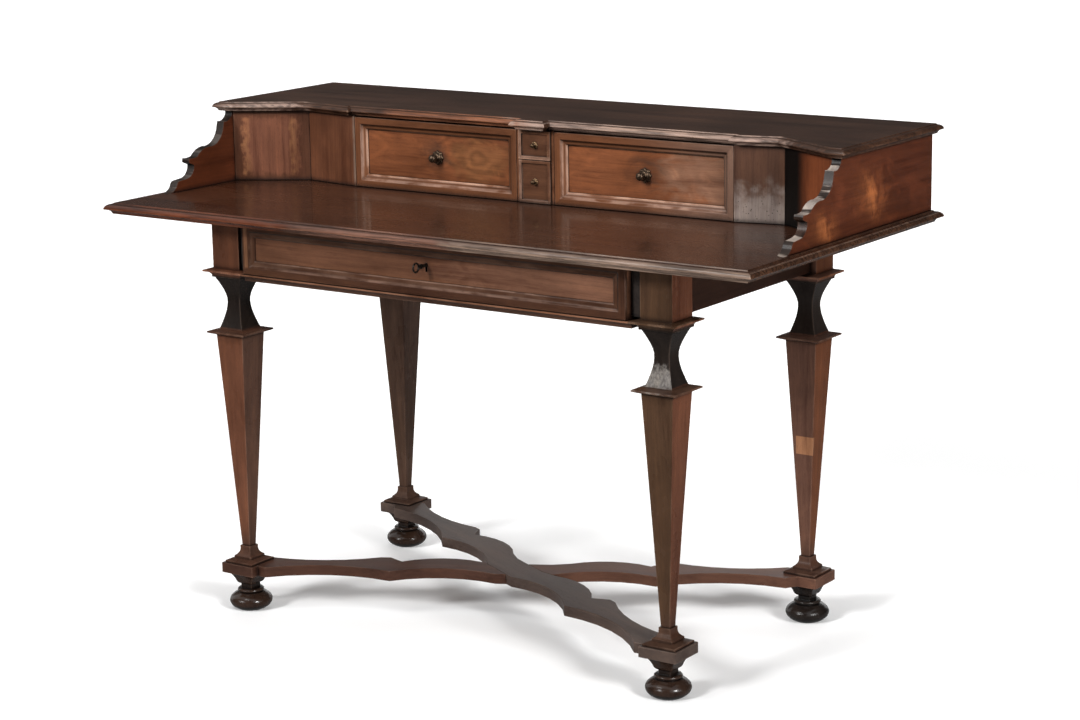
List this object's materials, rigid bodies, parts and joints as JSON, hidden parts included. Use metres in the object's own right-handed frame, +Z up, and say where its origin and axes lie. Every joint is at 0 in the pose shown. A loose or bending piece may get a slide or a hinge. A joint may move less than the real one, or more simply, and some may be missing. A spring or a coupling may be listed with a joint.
{
  "type": "writing table",
  "caption": "Walnut writing table on tapered square legs with a crossed scrolled stretcher, a long apron drawer with lock and key, and a low gallery of drawers along the back.",
  "frame": {"origin": "on the floor, under the middle of the writing top", "axes": "+X to the right of someone who sits at the table, +Y to the back, +Z up"},
  "size_m": [1.41, 0.694, 0.947],
  "materials": {
    "walnut": "polished",
    "dark_walnut": "polished",
    "lining_wood": "bare, waxed",
    "bronze": "dark patina",
    "iron": "dark, worn"
  },
  "bodies": {
    "table": {"back_rail": "walnut", "front_left_foot": "dark_walnut", "front_left_leg": "dark_walnut", "front_rail": "walnut", "front_right_foot": "dark_walnut", "front_right_leg": "dark_walnut", "gallery_back": "walnut", "gallery_board": "walnut", "left_block_wall": "walnut", "left_column_divider": "walnut", "left_drawer_runner": "walnut", "left_inner_canted_panel": "walnut", "left_outer_canted_panel": "walnut", "left_rail": "walnut", "left_side_panel": "walnut", "rear_left_foot": "dark_walnut", "rear_left_leg": "dark_walnut", "rear_right_foot": "dark_walnut", "rear_right_leg": "dark_walnut", "right_block_wall": "walnut", "right_column_divider": "walnut", "right_drawer_runner": "walnut", "right_inner_canted_panel": "walnut", "right_outer_canted_panel": "walnut", "right_rail": "walnut", "right_side_panel": "walnut", "small_drawer_shelf": "walnut", "stretcher_front_left_rear_right": "walnut", "stretcher_rear_left_front_right": "walnut", "writing_top": "walnut"},
    "apron_drawer": {"apron_drawer_front": "walnut", "apron_drawer_moulding": "walnut", "apron_drawer_left_side": "lining_wood", "apron_drawer_right_side": "lining_wood", "apron_drawer_back": "lining_wood", "apron_drawer_bottom": "lining_wood", "lock_case": "iron"},
    "lock_key": {"lock_key": "iron"},
    "lock_bolt": {"lock_bolt": "iron"},
    "gallery_drawer_left": {"gallery_drawer_left_front": "walnut", "gallery_drawer_left_moulding": "walnut", "gallery_drawer_left_left_side": "lining_wood", "gallery_drawer_left_right_side": "lining_wood", "gallery_drawer_left_back": "lining_wood", "gallery_drawer_left_bottom": "lining_wood", "gallery_drawer_left_knob": "bronze"},
    "gallery_drawer_right": {"gallery_drawer_right_front": "walnut", "gallery_drawer_right_moulding": "walnut", "gallery_drawer_right_left_side": "lining_wood", "gallery_drawer_right_right_side": "lining_wood", "gallery_drawer_right_back": "lining_wood", "gallery_drawer_right_bottom": "lining_wood", "gallery_drawer_right_knob": "bronze"},
    "upper_small_drawer": {"upper_small_drawer_front": "walnut", "upper_small_drawer_tray": "lining_wood", "upper_small_drawer_knob": "bronze"},
    "lower_small_drawer": {"lower_small_drawer_front": "walnut", "lower_small_drawer_tray": "lining_wood", "lower_small_drawer_knob": "bronze"}
  },
  "joints": [
    {"name": "apron_drawer_slide", "type": "slide", "parent": "table", "child": "apron_drawer", "axis": [0, -1, 0], "range_m": [0, 0.3]},
    {"name": "key_turn", "type": "hinge", "parent": "apron_drawer", "child": "lock_key", "pos_m": [0, -0.278, 0.724], "axis": [0, 1, 0], "range_deg": [0, 180]},
    {"name": "lock_bolt_slide", "type": "slide", "parent": "apron_drawer", "child": "lock_bolt", "axis": [0, 0, 1], "range_m": [0, 0.01]},
    {"name": "gallery_drawer_left_slide", "type": "slide", "parent": "table", "child": "gallery_drawer_left", "axis": [0, -1, 0], "range_m": [0, 0.18]},
    {"name": "gallery_drawer_right_slide", "type": "slide", "parent": "table", "child": "gallery_drawer_right", "axis": [0, -1, 0], "range_m": [0, 0.18]},
    {"name": "upper_small_drawer_slide", "type": "slide", "parent": "table", "child": "upper_small_drawer", "axis": [0, -1, 0], "range_m": [0, 0.15]},
    {"name": "lower_small_drawer_slide", "type": "slide", "parent": "table", "child": "lower_small_drawer", "axis": [0, -1, 0], "range_m": [0, 0.15]}
  ],
  "couplings": [
    {"joint": "key_turn", "follows": "lock_bolt_slide", "rad_per_m": 314.16}
  ]
}
